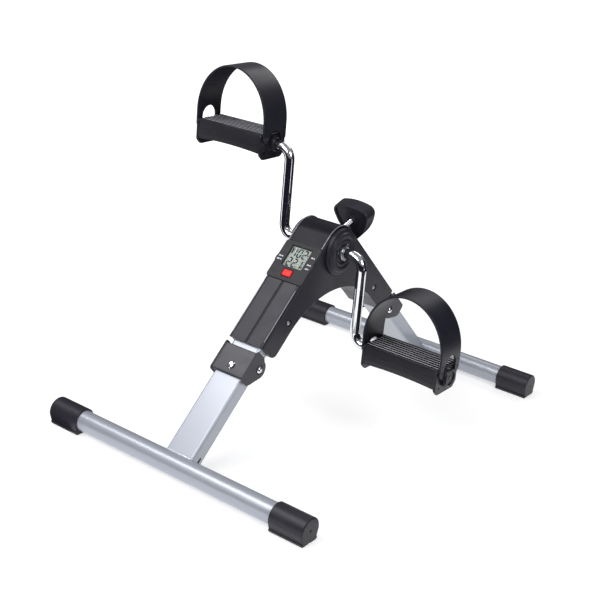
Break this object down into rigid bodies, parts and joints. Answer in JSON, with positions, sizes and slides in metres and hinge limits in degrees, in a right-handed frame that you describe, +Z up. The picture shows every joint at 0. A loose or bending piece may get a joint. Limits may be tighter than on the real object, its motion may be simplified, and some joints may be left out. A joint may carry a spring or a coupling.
{
  "type": "pedal exerciser",
  "caption": "Folding under-desk pedal exerciser: silver foot bars and folding legs, arched black housing with counter display, cranked chrome rod, strapped pedals, brake knob.",
  "frame": {"origin": "on the floor, midway between the two foot bars and under the crank's axis", "axes": "+Z up; +Y from the display side (front) to the tension knob side (rear); +X towards the pedal that is down at rest; the crank turns about X"},
  "size_m": [0.3956, 0.529, 0.4175],
  "materials": {
    "black_plastic": "satin moulded, fine grain",
    "black_rubber": "soft satin",
    "silver_paint": "silver-grey metallic powder coat",
    "chrome": "bright plated",
    "zinc_steel": "zinc plated",
    "nylon": "natural",
    "red_plastic": "semi-gloss",
    "lens": "clear",
    "lcd": "grey-green reflective display",
    "circuit_board": "solder mask"
  },
  "bodies": {
    "housing": {"hinge_bracket_front": "black_plastic", "hinge_bracket_rear": "black_plastic", "housing_left": "black_plastic", "housing_right": "black_plastic", "hub_cover": "black_plastic", "lower_cover": "black_plastic", "console_case": "black_plastic", "hub_disc_left": "black_plastic", "hub_disc_right": "black_plastic", "reed_sensor": "black_plastic", "frame_arm_front": "silver_paint", "frame_arm_rear": "silver_paint", "hinge_rivet_front": "chrome", "hinge_rivet_rear": "chrome", "bearing_plate_left": "zinc_steel", "bearing_plate_right": "zinc_steel", "housing_screw_front": "zinc_steel", "housing_screw_rear": "zinc_steel", "tension_nut_plate": "zinc_steel", "battery_cell": "zinc_steel", "crank_bush_left": "nylon", "crank_bush_right": "nylon", "display_lens": "lens", "display_panel": "lcd", "circuit_board": "circuit_board"},
    "front_leg": {"leg_tube_front": "silver_paint", "foot_bar_front": "silver_paint", "foot_cap_front_left": "black_rubber", "foot_cap_front_right": "black_rubber", "lock_spring_front": "zinc_steel"},
    "rear_leg": {"leg_tube_rear": "silver_paint", "foot_bar_rear": "silver_paint", "foot_cap_rear_left": "black_rubber", "foot_cap_rear_right": "black_rubber", "lock_spring_rear": "zinc_steel"},
    "crank": {"crank_rod": "chrome", "friction_drum": "zinc_steel", "sensor_magnet": "zinc_steel", "axle_retainer_left": "zinc_steel", "axle_retainer_right": "zinc_steel"},
    "left_pedal": {"pedal_body_left": "black_plastic", "pedal_strap_left": "black_rubber", "pedal_cap_left": "black_plastic"},
    "right_pedal": {"pedal_body_right": "black_plastic", "pedal_strap_right": "black_rubber", "pedal_cap_right": "black_plastic"},
    "front_lock_button": {"lock_button_front": "chrome"},
    "rear_lock_button": {"lock_button_rear": "chrome"},
    "reset_button": {"reset_button": "red_plastic"},
    "tension_knob": {"tension_knob": "black_plastic", "tension_screw": "chrome"},
    "brake_shoe": {"brake_shoe": "black_rubber"}
  },
  "joints": [
    {"name": "front_leg_fold", "type": "hinge", "parent": "housing", "child": "front_leg", "pos_m": [0, -0.13776, 0.10513], "axis": [1, 0, 0], "range_deg": [0, 98]},
    {"name": "rear_leg_fold", "type": "hinge", "parent": "housing", "child": "rear_leg", "pos_m": [0, 0.13776, 0.10513], "axis": [-1, 0, 0], "range_deg": [0, 98]},
    {"name": "front_lock_press", "type": "slide", "parent": "housing", "child": "front_lock_button", "axis": [0, 0.6884, -0.7254], "range_m": [0, 0.0022], "stiffness_N_per_m": 900, "springref_m": -0.002},
    {"name": "rear_lock_press", "type": "slide", "parent": "housing", "child": "rear_lock_button", "axis": [0, -0.6884, -0.7254], "range_m": [0, 0.0022], "stiffness_N_per_m": 900, "springref_m": -0.002},
    {"name": "reset_press", "type": "slide", "parent": "housing", "child": "reset_button", "axis": [0, 0.6884, -0.7254], "range_m": [0, 0.001], "stiffness_N_per_m": 500, "springref_m": -0.001},
    {"name": "crank_spin", "type": "hinge", "parent": "housing", "child": "crank", "pos_m": [0, 0, 0.22], "axis": [1, 0, 0], "continuous": true},
    {"name": "left_pedal_spin", "type": "hinge", "parent": "crank", "child": "left_pedal", "pos_m": [0, 0, 0.329], "axis": [1, 0, 0], "continuous": true},
    {"name": "right_pedal_spin", "type": "hinge", "parent": "crank", "child": "right_pedal", "pos_m": [0, 0, 0.111], "axis": [1, 0, 0], "continuous": true},
    {"name": "tension_knob_turn", "type": "hinge", "parent": "housing", "child": "tension_knob", "pos_m": [0, 0.05656, 0.24003], "axis": [0, -0.9426, -0.3338], "range_deg": [0, 630]},
    {"name": "brake_shoe_slide", "type": "slide", "parent": "housing", "child": "brake_shoe", "axis": [0, -0.9426, -0.3338], "range_m": [0, 0.0022]}
  ],
  "couplings": [
    {"joint": "brake_shoe_slide", "follows": "tension_knob_turn", "m_per_rad": 0.00019894}
  ]
}
